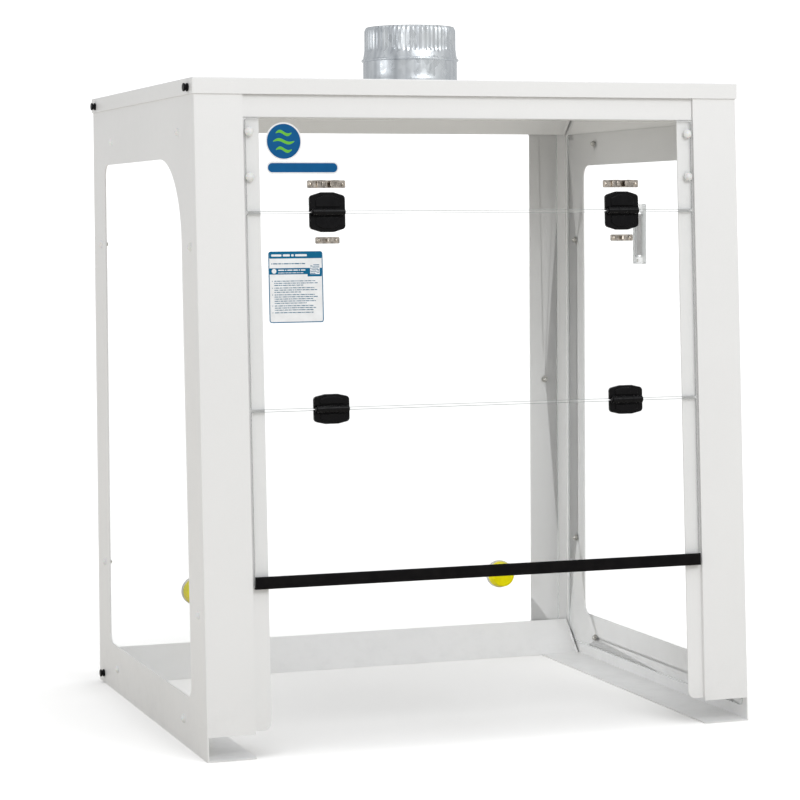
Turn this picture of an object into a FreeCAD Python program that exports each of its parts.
"""Bench-top ducted fume hood: bent sheet cabinet, clear windows, three-piece folding sash.

Millimetres. +Z is up, the sash faces -Y, and the origin is on the bench under the middle of the hood.
The front leans back, so front pieces are drawn upright with their front face at FRONT_Y and then
tilted about the bench line by on_front(). There, d is the depth behind the front plane.
"""
import FreeCAD, Part
import math
import os

V = FreeCAD.Vector

# ---- driving dimensions -------------------------------------------------------------------------
WIDTH = 890.0             # across the side walls
HEIGHT = 1016.0           # bench to roof top
FRONT_Y = -371.0          # front plane at the bench
REAR_Y = 368.5            # rear edge of the side walls
LEAN_RUN = 46.0           # how far the front leans back over HEIGHT
SHEET = 2.0               # sheet metal
CLEAR_SHEET = 3.0         # side and back windows
SASH_SHEET = 5.0          # sash panels

POST_WIDTH = 75.0         # front face of each side panel
POST_FOOT = 37.0          # height at which the post face stops above the bench
JAMB_WIDTH = 26.0         # strip behind the sash edge
JAMB_DEPTH = 6.0          # recess that the sash lies in
JAMB_FOOT = 41.0
FLANGE_WIDTH = 76.0       # floor flange of each side panel
REAR_FLANGE = 20.0

ROOF_GAP = 0.5            # roof skirt to wall
ROOF_SKIRT = 24.5
FASCIA_FOOT = 958.0       # lower edge of the front fascia

WINDOW_LOW = 79.5         # side window opening
WINDOW_HIGH = 899.0
WINDOW_REAR_Y = 281.0
WINDOW_STILE = 90.0
WINDOW_BIG_R = 135.0
WINDOW_SMALL_R = 20.0

BACK_OPENING_X = (-427.0, 371.0)        # the left edge runs up beside the side panel's rear flange
BACK_OPENING_Z = (52.0, 962.0)
SLOPE_RISE = 56.0         # sloped strips that cover the rear corners
SLOPE_RUN = 50.5

SASH_HALF = 366.0
SASH_FACE = 0.7           # d of the sash front face
SASH_GAP = 3.0
SASH_TOP = 956.0
UPPER_HINGE_Z = 815.3
LOWER_HINGE_Z = 519.0
SASH_FOOT = 253.0
TRIM_HEIGHT = 18.5

HINGE_X = 242.0
AXIS_OUT = 8.0            # hinge axis in front of the sash face
KNUCKLE_R = 6.3
KNUCKLE_GAP = 0.4
PIN_R = 2.4
PIN_CLEAR = 0.05
PIN_HEAD_R = 3.6
LEAF_HALF = 28.0
UPPER_LEAF = 30.0         # height of each leaf above or below its hinge line
LOWER_LEAF = 22.5
LEAF_THICK = 5.6
COVER_THICK = 7.4
CATCH_OFFSET = 42.3       # catch above and strike below the upper hinge line

COLLAR_Y = -29.0
COLLAR_R = 77.4
CRIMP_R = 75.15
BEAD_R = 80.3
COLLAR_SHEET = 0.9
COLLAR_RISE = 102.0
BEAD_RISE = 48.0
CRIMP_RISE = 62.0

CAP_R = 7.0
CAP_RISE = 5.0
BOLT_R = 2.5
NUT_R = 4.6
PORT_Z = 147.0
PORT_X = {"left": -272.0, "right": 307.0}
PORT_R = 20.0

# ---- values worked out from them ----------------------------------------------------------------
HALF = WIDTH / 2
WALL_IN = HALF - SHEET
LEAN = math.atan2(LEAN_RUN, HEIGHT)
LEAN_DEG = math.degrees(LEAN)
UNDER_ROOF = HEIGHT - SHEET
BACK_FACE_Y = REAR_Y - 2 * SHEET            # inner face of the back panel
WINDOW_FACE_Y = BACK_FACE_Y - CLEAR_SHEET   # inner face of the back window
POST_IN = HALF - POST_WIDTH
JAMB_IN = POST_IN - JAMB_WIDTH
SIDES = {"left": -1, "right": 1}


# ---- shape helpers ------------------------------------------------------------------------------
def front_y(z):
    """Y of the leaning front plane at height z."""
    return FRONT_Y + z * math.tan(LEAN)


def on_front(shape):
    """Tilt an upright front piece into the leaning front plane."""
    return shape.rotated(V(0, FRONT_Y, 0), V(1, 0, 0), -LEAN_DEG)


def box(x, y, z):
    """Box between pairs of limits."""
    return Part.makeBox(x[1] - x[0], y[1] - y[0], z[1] - z[0], V(x[0], y[0], z[0]))


def rod(radius, start, direction, length):
    return Part.makeCylinder(radius, length, V(*start), V(*direction))


def tube(outer, inner, start, direction, length):
    return rod(outer, start, direction, length).cut(rod(inner, start, direction, length))


def outline(points, radii):
    """Closed wire in the XY plane through the points, each corner rounded by its radius."""
    corners = []
    count = len(points)
    for i in range(count):
        p = V(*points[i], 0)
        before = (V(*points[i - 1], 0) - p).normalize()
        after = (V(*points[(i + 1) % count], 0) - p).normalize()
        radius = radii[i] if isinstance(radii, (list, tuple)) else radii
        if radius == 0:
            corners.append((p, None, p))
            continue
        half = before.getAngle(after) / 2
        run = radius / math.tan(half)
        inward = (before + after).normalize()
        middle = p + inward * (radius / math.sin(half) - radius)
        corners.append((p + before * run, middle, p + after * run))
    edges = []
    for i in range(count):
        start, middle, end = corners[i]
        if middle is not None:
            edges.append(Part.Arc(start, middle, end).toShape())
        following = corners[(i + 1) % count][0]
        if end.distanceToPoint(following) > 1e-6:
            edges.append(Part.LineSegment(end, following).toShape())
    return Part.Wire(edges)


def plate(points, radii, thickness):
    """Rounded outline in the XY plane, thickened along +Z."""
    return Part.Face(outline(points, radii)).extrude(V(0, 0, thickness))


def plate_yz(points, radii, x_low, x_high):
    """Outline given as (y, z), thickened along X."""
    shape = plate(points, radii, x_high - x_low)
    turn = FreeCAD.Placement(V(x_low, 0, 0), FreeCAD.Rotation(V(1, 1, 1), 120))
    shape.Placement = turn
    return shape


def plate_xz(points, radii, y_low, y_high):
    """Outline given as (x, z), thickened along Y."""
    shape = plate(points, radii, y_high - y_low)
    shape.Placement = FreeCAD.Placement(V(0, y_high, 0), FreeCAD.Rotation(V(1, 0, 0), 90))
    return shape


def rectangle(x, z):
    return [(x[0], z[0]), (x[1], z[0]), (x[1], z[1]), (x[0], z[1])]


def fused(shapes):
    whole = shapes[0]
    for shape in shapes[1:]:
        whole = whole.fuse(shape)
    return whole.removeSplitter()


def mirrored(shape):
    return shape.mirror(V(0, 0, 0), V(1, 0, 0))


def for_side(shape, side):
    """A piece drawn for the right side, or its mirror image."""
    return shape if side == "right" else mirrored(shape)


def rounded(shape, radius, wanted):
    """Fillet the edges whose middle point passes the test."""
    edges = [edge for edge in shape.Edges if wanted(edge.BoundBox)]
    return shape.makeFillet(radius, edges)


def group(shapes):
    """Separate solids in one node."""
    return Part.makeCompound(shapes)


def domed_cap(radius, rise):
    """Snap cap on the XY plane, domed along +Z."""
    sphere_r = (radius * radius + rise * rise) / (2 * rise)
    ball = Part.makeSphere(sphere_r, V(0, 0, rise - sphere_r))
    return ball.common(Part.makeCylinder(radius, rise + 1))


def acorn_nut(radius, rise):
    """Hexagon nut with a domed end on the XY plane, with its bolt hole."""
    points = [(radius * math.cos(math.radians(60 * i)), radius * math.sin(math.radians(60 * i)))
              for i in range(6)]
    body = plate(points, 0, rise * 0.55)
    dome = domed_cap(radius * 0.86, rise * 0.45)
    dome.translate(V(0, 0, rise * 0.55))
    washer = Part.makeCylinder(radius * 1.35, 0.8)
    bore = Part.makeCylinder(BOLT_R, rise * 0.6)
    return fused([body, dome, washer]).cut(bore)


def facing(shape, point, direction):
    """Move a piece drawn on the XY plane to a point, with +Z turned to the direction."""
    moved = shape.copy()
    moved.Placement = FreeCAD.Placement(V(*point), FreeCAD.Rotation(V(0, 0, 1), V(*direction)))
    return moved


# ---- cabinet sheet metal ------------------------------------------------------------------------
def side_screw_places():
    """(y, z) of the eight screws that hold a side window."""
    places = [(226.0, 937.0), (-230.0, 937.0), (226.0, 41.0), (-230.0, 41.0)]
    for z in (764.0, 214.0):
        places.append((313.0, z))
        places.append((front_y(z) + 36.5, z))
    return places


def side_screw_holes():
    holes = [rod(BOLT_R, (WALL_IN - 10, y, z), (1, 0, 0), 20) for y, z in side_screw_places()]
    return group(holes)


def sash_screw_places():
    """(x, z) of the fixed sash panel's screws on the right jamb, upright."""
    return [(360.3, 936.5), (360.3, 868.5)]


def window_opening(x_low, x_high):
    low_y = front_y(WINDOW_LOW) + WINDOW_STILE
    high_y = front_y(WINDOW_HIGH) + WINDOW_STILE
    points = [(low_y, WINDOW_LOW), (WINDOW_REAR_Y, WINDOW_LOW), (WINDOW_REAR_Y, WINDOW_HIGH),
              (high_y, WINDOW_HIGH)]
    radii = [WINDOW_SMALL_R, WINDOW_SMALL_R, WINDOW_SMALL_R, WINDOW_BIG_R]
    return plate_yz(points, radii, x_low, x_high)


def side_panel():
    """One bent sheet: wall, leaning post face, jamb behind the sash, floor and rear flanges."""
    wall_points = [(front_y(0), 0), (REAR_Y, 0), (REAR_Y, UNDER_ROOF), (front_y(UNDER_ROOF), UNDER_ROOF)]
    wall = plate_yz(wall_points, 0, WALL_IN, HALF)
    wall = wall.cut(window_opening(WALL_IN - 1, HALF + 1))
    top = HEIGHT + 10
    post = box((POST_IN, HALF), (FRONT_Y, FRONT_Y + SHEET), (POST_FOOT, top))
    step = box((POST_IN, POST_IN + SHEET), (FRONT_Y, FRONT_Y + JAMB_DEPTH + SHEET), (JAMB_FOOT, top))
    jamb_points = rectangle((JAMB_IN, POST_IN + SHEET), (JAMB_FOOT, top))
    jamb = plate_xz(jamb_points, [12, 0, 0, 0], FRONT_Y + JAMB_DEPTH, FRONT_Y + JAMB_DEPTH + SHEET)
    front = on_front(fused([post, step, jamb]))
    front = front.common(box((0, HALF), (FRONT_Y - 50, 0), (0, UNDER_ROOF)))
    floor_points = [(HALF - FLANGE_WIDTH, FRONT_Y), (HALF, FRONT_Y), (HALF, WINDOW_FACE_Y - SLOPE_RUN - 2),
                    (HALF - FLANGE_WIDTH, WINDOW_FACE_Y - SLOPE_RUN - 2)]
    floor = plate(floor_points, [4, 0, 0, 0], SHEET)
    rear = box((HALF - REAR_FLANGE, HALF), (REAR_Y - SHEET, REAR_Y), (3, UNDER_ROOF - 1))
    panel = fused([wall, front, floor, rear])
    holes = [rod(BOLT_R, (x, FRONT_Y, z), (0, 1, 0), 12) for x, z in sash_screw_places()]
    panel = panel.cut(on_front(group(holes))).cut(side_screw_holes())

    def outer_bend(b):
        return b.XMin > HALF - 0.1 and b.ZLength > 900 and b.YMax < 0
    return rounded(panel, 1.8, outer_bend)


def back_panel():
    """Flat frame with the large opening, wide on the right only, on the rear flanges."""
    frame = box((-WALL_IN + 0.2, WALL_IN - 0.2), (BACK_FACE_Y, BACK_FACE_Y + SHEET), (0.2, UNDER_ROOF - 0.3))
    opening = plate_xz(rectangle(BACK_OPENING_X, BACK_OPENING_Z), 8, BACK_FACE_Y - 1, REAR_Y)
    holes = [rod(BOLT_R, (x, WINDOW_FACE_Y - 5, z), (0, 1, 0), 20) for x, z in back_screw_places()]
    return frame.cut(opening).cut(group(holes))


def back_screw_places():
    """(x, z) of the screws that hold the back window."""
    places = [(398.5, 505.6)]
    for z in (36.0, 978.0):
        places += [(-390.0, z), (-130.0, z), (130.0, z), (390.0, z)]
    return places


def slope_strip(low, high):
    """Sloped strip across the rear corner, with a narrow end flange along each side wall."""
    y0 = WINDOW_FACE_Y - 0.2
    y1 = y0 - SLOPE_RUN
    rise = high - low
    thick = SHEET * math.hypot(rise, SLOPE_RUN) / SLOPE_RUN
    half = WALL_IN - CLEAR_SHEET - 0.5
    across = SHEET * math.hypot(rise, SLOPE_RUN) / rise
    face = plate_yz([(y0, high), (y1, low), (y1 + across, low), (y0, high - thick)], 0, -half, half)
    over_floor = low + SHEET + 0.2
    tab_points = [(y0, high), (y1 + 1, low), (y1 - 1.5, low), (y1 - 1.5, over_floor), (y1 - 7, over_floor),
                  (y0 - 8, high - 5)]
    tabs = [plate_yz(tab_points, 0, half - 1.5, half), plate_yz(tab_points, 0, -half, -half + 1.5)]
    return fused([face] + tabs)


def rear_header():
    """The same strip turned over, under the roof."""
    strip = slope_strip(0.2, SLOPE_RISE)
    return strip.mirror(V(0, 0, (UNDER_ROOF + 0.2) / 2), V(0, 0, 1))


def roof_panel():
    """Shallow pan over the walls, with the duct hole."""
    outer = HALF + ROOF_GAP + SHEET
    front = front_y(HEIGHT - ROOF_SKIRT) - ROOF_GAP - SHEET
    rear = REAR_Y + ROOF_GAP + SHEET
    pan = box((-outer, outer), (front, rear), (HEIGHT - ROOF_SKIRT, HEIGHT))

    def corner(b):
        return b.ZLength > ROOF_SKIRT - 1
    pan = rounded(pan, 2.5, corner)

    def top_rim(b):
        return b.ZMin > HEIGHT - 0.1
    pan = rounded(pan, 1.8, top_rim)
    hollow = box((-outer + SHEET, outer - SHEET), (front + SHEET, rear - SHEET),
                 (HEIGHT - ROOF_SKIRT - 1, UNDER_ROOF + 0.1))
    hole = rod(COLLAR_R + 0.2, (0, COLLAR_Y, UNDER_ROOF - 1), (0, 0, 1), 10)
    rivets = rod(1.6, (0, 0, UNDER_ROOF - 5), (0, 0, 1), 10)
    holes = [rivets.translated(V(x, y, 0)) for x, y in rivet_places()]
    return pan.cut(hollow).cut(hole).cut(group(holes))


def front_fascia():
    """Header between the posts, with a lip folded back along its lower edge."""
    half = POST_IN - 0.4
    d0 = FRONT_Y + JAMB_DEPTH - SHEET - 0.1
    face = box((-half, half), (d0, d0 + SHEET), (FASCIA_FOOT, HEIGHT + 5))
    lip = box((-JAMB_IN + 0.5, JAMB_IN - 0.5), (d0, d0 + 14), (FASCIA_FOOT, FASCIA_FOOT + SHEET))
    fascia = fused([face, lip])

    def nose(b):
        return b.XLength > 500 and b.YMax < d0 + 0.1 and b.ZMax < FASCIA_FOOT + 0.1
    fascia = rounded(fascia, 1.2, nose)
    limit = box((-HALF, HALF), (FRONT_Y - 50, 0), (0, UNDER_ROOF - 0.2))
    return on_front(fascia).common(limit)


# ---- windows ------------------------------------------------------------------------------------
def side_window():
    """Clear sheet inside the wall, screwed round the opening."""
    low, high = 22.0, 957.0
    points = [(front_y(low) + 14, low), (350, low), (350, high), (front_y(high) + 14, high)]
    sheet = plate_yz(points, 8, WALL_IN - CLEAR_SHEET, WALL_IN)
    return sheet.cut(side_screw_holes())


def back_window():
    """Clear sheet inside the back panel, with two port holes."""
    sheet = plate_xz(rectangle((-439, 425), (24, 990)), 8, WINDOW_FACE_Y, BACK_FACE_Y)
    holes = [rod(PORT_R + 2, (x, WINDOW_FACE_Y - 1, PORT_Z), (0, 1, 0), 8) for x in PORT_X.values()]
    holes += [rod(BOLT_R, (x, WINDOW_FACE_Y - 5, z), (0, 1, 0), 20) for x, z in back_screw_places()]
    return sheet.cut(group(holes))


def port_ring(x):
    """Flanged bush in the back window."""
    flange = tube(PORT_R + 5, PORT_R, (x, WINDOW_FACE_Y - 2, PORT_Z), (0, 1, 0), 2)
    sleeve = tube(PORT_R + 1.9, PORT_R, (x, WINDOW_FACE_Y - 1, PORT_Z), (0, 1, 0), 9)
    lock = tube(PORT_R + 5, PORT_R + 1.8, (x, BACK_FACE_Y + 0.1, PORT_Z), (0, 1, 0), 2.4)
    return fused([flange, sleeve, lock])


def port_plug(x):
    """Stopper: a spigot in the bush and a round knob in front of it."""
    face = WINDOW_FACE_Y - 2.3
    knob = rod(23.5, (x, face - 19, PORT_Z), (0, 1, 0), 19)

    def front_rim(b):
        return b.YMax < face - 18.5
    knob = rounded(knob, 3.5, front_rim)
    spigot = rod(PORT_R - 0.4, (x, face - 1, PORT_Z), (0, 1, 0), 11)
    return fused([knob, spigot])


# ---- fasteners ----------------------------------------------------------------------------------
def window_fasteners(piece):
    """Caps, bolts or nuts that hold the side and back windows."""
    side, back = [], []
    side_face = WALL_IN - CLEAR_SHEET
    rear_face = BACK_FACE_Y + SHEET
    length = SHEET + CLEAR_SHEET + 3
    for y, z in side_screw_places():
        if piece == "cap":
            side.append(facing(domed_cap(CAP_R, CAP_RISE), (HALF, y, z), (1, 0, 0)))
        if piece == "bolt":
            side.append(rod(BOLT_R - 0.05, (HALF, y, z), (-1, 0, 0), length))
        if piece == "nut":
            side.append(facing(acorn_nut(NUT_R, 6.5), (side_face, y, z), (-1, 0, 0)))
    for x, z in back_screw_places():
        if piece == "cap":
            back.append(facing(domed_cap(CAP_R, CAP_RISE - 0.5), (x, rear_face, z), (0, 1, 0)))
        if piece == "bolt":
            back.append(rod(BOLT_R - 0.05, (x, rear_face, z), (0, -1, 0), length))
        if piece == "nut":
            back.append(facing(acorn_nut(NUT_R, 6.5), (x, WINDOW_FACE_Y, z), (0, -1, 0)))
    return group(side + [mirrored(shape) for shape in side] + back)


def sash_fasteners(piece):
    """Caps, bolts or nuts of the fixed sash panel, on both jambs."""
    face = FRONT_Y + SASH_FACE
    back = FRONT_Y + JAMB_DEPTH + SHEET
    shapes = []
    for x, z in sash_screw_places():
        if piece == "cap":
            shapes.append(facing(domed_cap(CAP_R, CAP_RISE), (x, face, z), (0, -1, 0)))
        if piece == "bolt":
            shapes.append(rod(BOLT_R - 0.05, (x, face, z), (0, 1, 0), back - face + 3))
        if piece == "nut":
            shapes.append(facing(acorn_nut(NUT_R, 6.5), (x, back, z), (0, 1, 0)))
    right = on_front(group(shapes))
    return group(right.Solids + mirrored(right).Solids)


def bumper(x, y, z):
    """Spool-shaped plastic button standing out of a side wall."""
    lobe = rod(6.3, (0, 0, 0), (1, 0, 0), 3.2)

    def rims(b):
        return b.XLength < 0.01
    lobe = rounded(lobe, 1.0, rims)
    neck = rod(4.0, (1, 0, 0), (1, 0, 0), 6)
    spool = fused([lobe, neck, lobe.translated(V(4.8, 0, 0))])
    return spool.translated(V(x, y, z))


def bumpers():
    skirt = HALF + ROOF_GAP + SHEET
    right = [bumper(skirt, -304, 1001.5), bumper(skirt, 338, 1001.5), bumper(HALF, 332, 17)]
    return group(right + [mirrored(shape) for shape in right])


# ---- duct collar --------------------------------------------------------------------------------
def collar_profile(offset):
    """(radius, height) points up the collar's wall, moved in by the offset."""
    rise = [(COLLAR_R, -SHEET), (COLLAR_R, BEAD_RISE - 4), (BEAD_R, BEAD_RISE - 1.5), (BEAD_R, BEAD_RISE + 1.5),
            (COLLAR_R, BEAD_RISE + 4), (COLLAR_R - 0.6, CRIMP_RISE - 5), (CRIMP_R, CRIMP_RISE),
            (CRIMP_R, COLLAR_RISE)]
    return [(radius - offset, HEIGHT + z) for radius, z in rise]


def duct_collar():
    """Thin wall turned about the duct axis: plain spigot, rolled bead and reduced upper part."""
    points = collar_profile(0) + collar_profile(COLLAR_SHEET)[::-1]
    wire = Part.makePolygon([V(r, 0, z) for r, z in points] + [V(points[0][0], 0, points[0][1])])
    wall = Part.Face(wire).revolve(V(0, 0, 0), V(0, 0, 1), 360)
    return wall.translated(V(0, COLLAR_Y, 0))


def rivet_places():
    places = []
    for i in range(6):
        turn = math.radians(60 * i + 30)
        places.append((86.5 * math.cos(turn), COLLAR_Y + 86.5 * math.sin(turn)))
    return places


def collar_ring():
    """Ring under the roof that the collar is seamed to."""
    ring = tube(93, COLLAR_R, (0, COLLAR_Y, UNDER_ROOF - 1.5), (0, 0, 1), 1.5)
    foot = tube(COLLAR_R, COLLAR_R - COLLAR_SHEET, (0, COLLAR_Y, UNDER_ROOF - 6), (0, 0, 1), 6)
    holes = [rod(1.6, (x, y, UNDER_ROOF - 5), (0, 0, 1), 10) for x, y in rivet_places()]
    return fused([ring, foot]).cut(group(holes))


def collar_rivets():
    shapes = []
    for x, y in rivet_places():
        head = facing(domed_cap(3.2, 1.2), (x, y, HEIGHT), (0, 0, 1))
        shank = rod(1.55, (x, y, UNDER_ROOF - 3.5), (0, 0, 1), SHEET + 3.6)
        tail = rod(2.6, (x, y, UNDER_ROOF - 3.5), (0, 0, 1), 2)
        shapes.append(fused([head, shank, tail]))
    return group(shapes)


# ---- sash panels --------------------------------------------------------------------------------
def sash_panel(low, high):
    face = FRONT_Y + SASH_FACE
    return plate_xz(rectangle((-SASH_HALF, SASH_HALF), (low, high)), 2.5, face, face + SASH_SHEET)


def sash_top_panel():
    panel = sash_panel(UPPER_HINGE_Z + SASH_GAP / 2, SASH_TOP)
    holes = []
    for x, z in sash_screw_places():
        holes.append(rod(BOLT_R, (x, FRONT_Y - 2, z), (0, 1, 0), 12))
        holes.append(rod(BOLT_R, (-x, FRONT_Y - 2, z), (0, 1, 0), 12))
    return on_front(panel.cut(group(holes)))


def sash_middle_panel():
    return on_front(sash_panel(LOWER_HINGE_Z + SASH_GAP / 2, UPPER_HINGE_Z - SASH_GAP / 2))


def sash_lower_panel():
    return on_front(sash_panel(SASH_FOOT + 2.6, LOWER_HINGE_Z - SASH_GAP / 2))


def sash_edge_trim():
    """Black channel on the lower edge, whose rear leg stops short of the jambs."""
    face = FRONT_Y + SASH_FACE
    back = face + SASH_SHEET
    top = SASH_FOOT + TRIM_HEIGHT
    front_leg = box((-SASH_HALF, SASH_HALF), (face - 5.5, face), (SASH_FOOT, top))

    def front_edges(b):
        return b.YMax < face - 5.4
    front_leg = rounded(front_leg, 2.2, front_edges)
    floor = box((-SASH_HALF, SASH_HALF), (face - 2, back), (SASH_FOOT, SASH_FOOT + 2.5))
    rear_leg = box((-JAMB_IN + 1, JAMB_IN - 1), (back, back + 2.5), (SASH_FOOT, top - 2))
    return on_front(fused([front_leg, floor, rear_leg]))


# ---- hinges -------------------------------------------------------------------------------------
def hinge_leaf(height, spans, other_spans, upward):
    """One plastic leaf with its knuckles, drawn round the hinge axis line.

    Here y is 0 at the sash face and negative outwards, and z is 0 at the hinge line.
    """
    shoulder = height * 0.82
    points = [(-LEAF_HALF, 0.5), (LEAF_HALF, 0.5), (LEAF_HALF, shoulder), (10, height), (-10, height),
              (-LEAF_HALF, shoulder)]
    base = plate_xz(points, [1, 1, 6, 5, 5, 6], -LEAF_THICK, 0)

    def outer_rim(b):
        return b.YMax < -LEAF_THICK + 0.1 and b.ZMax > 1
    base = rounded(base, 1.4, outer_rim)
    cover_points = [(-19, 7.5), (19, 7.5), (19, height * 0.66), (8, height * 0.84), (-8, height * 0.84),
                    (-19, height * 0.66)]
    cover = plate_xz(cover_points, [2, 2, 3, 3, 3, 3], -COVER_THICK, -1)

    def cover_rim(b):
        return b.YMax < -COVER_THICK + 0.1
    cover = rounded(cover, 1.1, cover_rim)
    pieces = [base, cover]
    for low, high in spans:
        pieces.append(rod(KNUCKLE_R, (low, -AXIS_OUT, 0), (1, 0, 0), high - low))
        pieces.append(box((low, high), (-AXIS_OUT, -0.3), (0, KNUCKLE_R)))
    leaf = fused(pieces)
    cuts = []
    for low, high in other_spans:
        reach = KNUCKLE_GAP
        cuts.append(rod(KNUCKLE_R + 0.5, (low - reach, -AXIS_OUT, 0), (1, 0, 0), high - low + 2 * reach))
        cuts.append(box((low - reach, high + reach), (-AXIS_OUT - 8, 0.1), (-8, 0.5)))
    for low in (-OUTER_SPANS[1][1] - 2.2, OUTER_SPANS[1][1]):
        cuts.append(rod(PIN_HEAD_R + 0.6, (low, -AXIS_OUT, 0), (1, 0, 0), 2.2))
    for cutter in cuts:
        leaf = leaf.cut(cutter)
    leaf = leaf.cut(rod(PIN_R + PIN_CLEAR, (-40, -AXIS_OUT, 0), (1, 0, 0), 80))
    return leaf if upward else leaf.mirror(V(0, 0, 0), V(0, 0, 1))


OUTER_SPANS = [(-25.0, -8.6), (8.6, 25.0)]
INNER_SPANS = [(-8.2, 8.2)]


def at_hinge(shape, side, line_z):
    """Place a hinge piece on the sash face, on one side, at a hinge line."""
    moved = shape.translated(V(SIDES[side] * HINGE_X, FRONT_Y + SASH_FACE, line_z))
    return on_front(moved)


def hinge_pin():
    """Pin with a small head at each end, held by the outer knuckles."""
    shank = rod(PIN_R, (-25.2, -AXIS_OUT, 0), (1, 0, 0), 50.4)
    heads = [rod(PIN_HEAD_R, (x, -AXIS_OUT, 0), (1, 0, 0), 1.5) for x in (-26.6, 25.1)]
    return fused([shank] + heads)


def leaf_nuts(height, upward):
    """Nuts behind the sash for the two studs of one leaf."""
    z = height * 0.5 if upward else -height * 0.5
    nut = acorn_nut(4.2, 5)
    return [facing(nut, (x, SASH_SHEET, z), (0, 1, 0)) for x in (-13, 13)]


def hinge_nuts(leaves):
    """One group of nuts for several leaves, given as (line height, leaf height, upward)."""
    solids = []
    for line_z, height, upward in leaves:
        for side in SIDES:
            for nut in leaf_nuts(height, upward):
                solids.append(at_hinge(nut, side, line_z))
    return group(solids)


# ---- double-roller catches ----------------------------------------------------------------------
CATCH_HALF = 30.0
CATCH_WALL = 5.6          # outer half height of the channel
ROLLER_X = 6.4
ROLLER_OUT = 8.6
ROLLER_R = 3.2
ROLLER_SPINDLE_R = 0.9
ARM_X = 13.5
ARM_OUT = 4.4
ARM_PIN_R = 1.0


def catch_base():
    """Base plate with two channel walls that carry the arm pins."""
    base = plate_xz(rectangle((-CATCH_HALF, CATCH_HALF), (-5.8, 5.8)), 2, -1.5, 0)
    wall_points = [(-18, 0), (-18, -7.5), (-12, -10.5), (-9, -10.5), (-3, -5), (3, -5), (9, -10.5), (12, -10.5),
                   (18, -7.5), (18, 0)]
    wall = plate(wall_points, 0, 1.0)
    walls = [wall.translated(V(0, 0, CATCH_WALL - 1)), wall.translated(V(0, 0, -CATCH_WALL))]
    holes = [rod(ARM_PIN_R + 0.02, (x, -ARM_OUT, -8), (0, 0, 1), 16) for x in (-ARM_X, ARM_X)]
    return fused([base] + walls).cut(group(holes))


def catch_pins():
    pins = [rod(ARM_PIN_R, (x, -ARM_OUT, -CATCH_WALL), (0, 0, 1), 2 * CATCH_WALL) for x in (-ARM_X, ARM_X)]
    return pins


def catch_arm(sign):
    """Fork that carries one roller and turns on its pin."""
    boss = rod(2.3, (ARM_X, -ARM_OUT, -4.3), (0, 0, 1), 8.6)
    tip = rod(2.0, (ROLLER_X, -ROLLER_OUT, -4.3), (0, 0, 1), 8.6)
    web_points = [(ARM_X - 1.4, -ARM_OUT + 1.6), (ARM_X + 1.6, -ARM_OUT - 1.5), (ROLLER_X + 1.2, -ROLLER_OUT - 1.6),
                  (ROLLER_X - 1.2, -ROLLER_OUT + 1.6)]
    web = plate(web_points, 0, 8.6).translated(V(0, 0, -4.3))
    arm = fused([boss, web, tip])
    arm = arm.cut(rod(ARM_PIN_R + 0.05, (ARM_X, -ARM_OUT, -6), (0, 0, 1), 12))
    arm = arm.cut(rod(ROLLER_R + 0.5, (ROLLER_X, -ROLLER_OUT, -3.2), (0, 0, 1), 6.4))
    arm = arm.cut(rod(ROLLER_SPINDLE_R + 0.05, (ROLLER_X, -ROLLER_OUT, -6), (0, 0, 1), 12))
    return arm if sign > 0 else mirrored(arm)


def catch_roller(sign):
    """Roller in one piece with its thin spindle, which runs in the fork."""
    x = sign * ROLLER_X
    spindle = rod(ROLLER_SPINDLE_R, (x, -ROLLER_OUT, -4.3), (0, 0, 1), 8.6)
    return fused([rod(ROLLER_R, (x, -ROLLER_OUT, -3.0), (0, 0, 1), 6.0), spindle])


def catch_screws():
    heads = []
    for x in (-25.5, 25.5):
        heads.append(facing(domed_cap(2.9, 1.6), (x, -1.5, 0), (0, -1, 0)))
    return heads


def strike_plate():
    """Plate with the tongue that goes between the rollers."""
    base = plate_xz(rectangle((-19, 19), (-5, 5)), 2, -1.5, 0)
    tongue = plate([(-2.3, -1), (-2.3, -9.0), (-1.2, -10.6), (1.2, -10.6), (2.3, -9.0), (2.3, -1)], 0, 5.0)
    return fused([base, tongue.translated(V(0, 0, -2.5))])


def strike_screws():
    return [facing(domed_cap(2.9, 1.6), (x, -1.5, 0), (0, -1, 0)) for x in (-13.5, 13.5)]


# ---- airflow indicator --------------------------------------------------------------------------
FLOW_Y = (0.5, 40.5)
FLOW_Z = (724.0, 827.0)
FLOW_X = (WALL_IN - CLEAR_SHEET - 7.5, WALL_IN - CLEAR_SHEET - 0.5)
FLOW_PIVOT = ((FLOW_X[0] + FLOW_X[1]) / 2, 808.0)


def airflow_housing():
    """Clear block with a rounded slot for the vane."""
    block = plate_yz(rectangle(FLOW_Y, FLOW_Z), 4, *FLOW_X)
    slot = plate_yz(rectangle((FLOW_Y[0] + 7, FLOW_Y[1] - 7), (FLOW_Z[0] + 11, FLOW_Z[1] - 12)), 6,
                    FLOW_X[0] - 1, FLOW_X[1] + 1)
    pin_hole = rod(0.8, (FLOW_PIVOT[0], FLOW_Y[0] + 4, FLOW_PIVOT[1]), (0, 1, 0), 32)
    return block.cut(slot).cut(pin_hole)


def airflow_fasteners():
    """Pivot pin and the two screws that hold the block to the window."""
    pin = rod(0.78, (FLOW_PIVOT[0], FLOW_Y[0] + 4.2, FLOW_PIVOT[1]), (0, 1, 0), 31.6)
    shapes = [pin]
    for z in (FLOW_Z[1] - 6, FLOW_Z[0] + 5.5):
        y = (FLOW_Y[0] + FLOW_Y[1]) / 2
        shapes.append(facing(domed_cap(2.6, 1.5), (FLOW_X[0], y, z), (-1, 0, 0)))
    return group(shapes)


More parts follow.
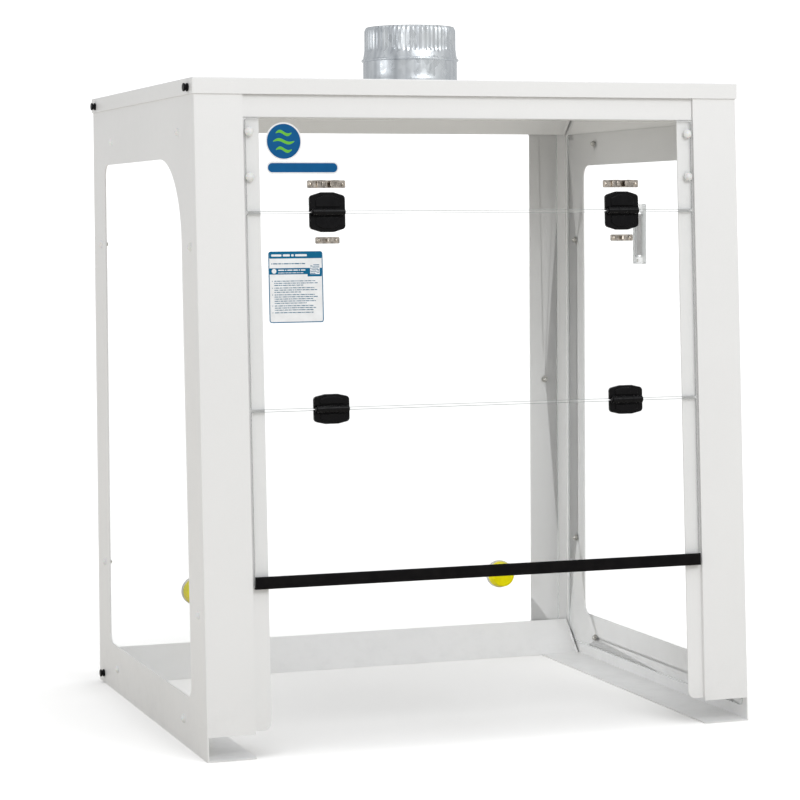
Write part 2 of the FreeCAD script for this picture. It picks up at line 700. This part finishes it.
def airflow_vane():
    """Thin flap that hangs from the pin."""
    x, z = FLOW_PIVOT
    span = (FLOW_Y[0] + 9, FLOW_Y[1] - 9)
    sleeve = rod(1.7, (x, span[0], z), (0, 1, 0), span[1] - span[0])
    flap = box((x - 0.4, x + 0.4), span, (FLOW_Z[0] + 15, z))
    return fused([sleeve, flap]).cut(rod(0.83, (x, span[0] - 1, z), (0, 1, 0), 40))


# ---- stickers -----------------------------------------------------------------------------------
def sticker(x, z, radius):
    face = FRONT_Y + SASH_FACE
    return on_front(plate_xz(rectangle(x, z), radius, face - 0.25, face))


# ---- every node ---------------------------------------------------------------------------------
def catch_group(pieces, side, offset):
    line = UPPER_HINGE_Z + offset
    return group([at_hinge(piece, side, line) for piece in pieces])


def both_sides(pieces, line):
    """The same hinge or catch pieces on the left and the right."""
    return group([at_hinge(piece, side, line) for side in SIDES for piece in pieces])


def paired_nodes(side):
    """Nodes that come once for each side."""
    upper_fixed = hinge_leaf(UPPER_LEAF, OUTER_SPANS, INNER_SPANS, True)
    upper_moving = hinge_leaf(UPPER_LEAF, INNER_SPANS, OUTER_SPANS, False)
    lower_fixed = hinge_leaf(LOWER_LEAF, OUTER_SPANS, INNER_SPANS, True)
    lower_moving = hinge_leaf(LOWER_LEAF, INNER_SPANS, OUTER_SPANS, False)
    inner_sign, outer_sign = (1, -1) if side == "left" else (-1, 1)
    return {
        "side_panel": for_side(side_panel(), side),
        "side_window": for_side(side_window(), side),
        "port_ring": port_ring(PORT_X[side]),
        "port_plug": port_plug(PORT_X[side]),
        "upper_hinge_fixed_leaf": at_hinge(upper_fixed, side, UPPER_HINGE_Z),
        "upper_hinge_moving_leaf": at_hinge(upper_moving, side, UPPER_HINGE_Z),
        "lower_hinge_fixed_leaf": at_hinge(lower_fixed, side, LOWER_HINGE_Z),
        "lower_hinge_moving_leaf": at_hinge(lower_moving, side, LOWER_HINGE_Z),
        "catch_base": catch_group([catch_base()], side, CATCH_OFFSET),
        "catch_inner_arm": catch_group([catch_arm(inner_sign)], side, CATCH_OFFSET),
        "catch_outer_arm": catch_group([catch_arm(outer_sign)], side, CATCH_OFFSET),
        "catch_inner_roller": catch_group([catch_roller(inner_sign)], side, CATCH_OFFSET),
        "catch_outer_roller": catch_group([catch_roller(outer_sign)], side, CATCH_OFFSET),
        "strike_plate": catch_group([strike_plate()], side, -CATCH_OFFSET),
    }


def all_nodes():
    nodes = {
        "back_panel": back_panel(),
        "rear_sill_strip": slope_strip(0.2, SLOPE_RISE),
        "rear_header_strip": rear_header(),
        "roof_panel": roof_panel(),
        "front_fascia": front_fascia(),
        "back_window": back_window(),
        "window_screw_caps": window_fasteners("cap"),
        "window_bolts": window_fasteners("bolt"),
        "window_nuts": window_fasteners("nut"),
        "corner_bumpers": bumpers(),
        "duct_collar": duct_collar(),
        "collar_ring": collar_ring(),
        "collar_rivets": collar_rivets(),
        "sash_top_panel": sash_top_panel(),
        "sash_screw_caps": sash_fasteners("cap"),
        "sash_bolts": sash_fasteners("bolt"),
        "sash_nuts": sash_fasteners("nut"),
        "sash_middle_panel": sash_middle_panel(),
        "sash_lower_panel": sash_lower_panel(),
        "sash_edge_trim": sash_edge_trim(),
        "hinge_nuts_top": hinge_nuts([(UPPER_HINGE_Z, UPPER_LEAF, True)]),
        "hinge_nuts_middle": hinge_nuts([(UPPER_HINGE_Z, UPPER_LEAF, False), (LOWER_HINGE_Z, LOWER_LEAF, True)]),
        "hinge_nuts_lower": hinge_nuts([(LOWER_HINGE_Z, LOWER_LEAF, False)]),
        "airflow_housing": airflow_housing(),
        "airflow_vane": airflow_vane(),
        "airflow_fasteners": airflow_fasteners(),
        "upper_hinge_pins": both_sides([hinge_pin()], UPPER_HINGE_Z),
        "lower_hinge_pins": both_sides([hinge_pin()], LOWER_HINGE_Z),
        "catch_pins_and_screws": both_sides(catch_pins() + catch_screws(), UPPER_HINGE_Z + CATCH_OFFSET),
        "strike_screws": both_sides(strike_screws(), UPPER_HINGE_Z - CATCH_OFFSET),
        "badge": sticker((-337, -219), (872, 952), 6),
        "instruction_label": sticker((-335, -250), (650, 757), 4),
    }
    return nodes


def main():
    os.makedirs("parts", exist_ok=True)
    nodes = all_nodes()
    for side in SIDES:
        for name, shape in paired_nodes(side).items():
            nodes[name + "_" + side] = shape
    for name, shape in nodes.items():
        shape.exportStep("parts/" + name + ".step")
    whole = Part.makeCompound(list(nodes.values())).BoundBox
    print(len(nodes), "nodes")
    print("x %.1f %.1f  y %.1f %.1f  z %.1f %.1f" % (whole.XMin, whole.XMax, whole.YMin, whole.YMax,
                                                     whole.ZMin, whole.ZMax))


main()
